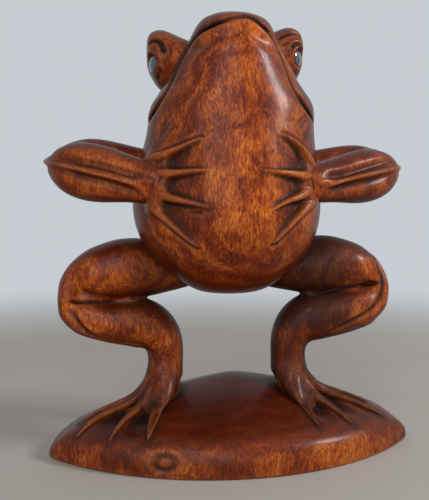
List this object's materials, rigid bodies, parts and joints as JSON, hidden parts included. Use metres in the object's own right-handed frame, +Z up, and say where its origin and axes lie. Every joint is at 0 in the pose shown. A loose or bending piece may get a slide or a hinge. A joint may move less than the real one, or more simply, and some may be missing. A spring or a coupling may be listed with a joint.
{
  "type": "frog figurine",
  "caption": "Standing carved wooden frog with its snout raised and hands spread on its belly, on a domed base; a free-standing ornament.",
  "frame": {"origin": "on the base's flat underside, straight below the frog's upright axis", "axes": "+Z up, the frog faces -Y, and +X is the frog's own left"},
  "size_m": [0.2173, 0.1102, 0.247],
  "materials": {
    "hardwood": "polished, with darker stain in the creases",
    "eye_inlay": "gloss"
  },
  "bodies": {
    "root": {"base": "hardwood", "torso": "hardwood", "head": "hardwood", "right_eye": "hardwood", "right_eye_inlay": "eye_inlay", "right_upper_arm": "hardwood", "right_forearm": "hardwood", "right_hand": "hardwood", "right_thigh": "hardwood", "right_shin": "hardwood", "right_foot": "hardwood", "left_eye": "hardwood", "left_eye_inlay": "eye_inlay", "left_upper_arm": "hardwood", "left_forearm": "hardwood", "left_hand": "hardwood", "left_thigh": "hardwood", "left_shin": "hardwood", "left_foot": "hardwood"}
  },
  "joints": []
}
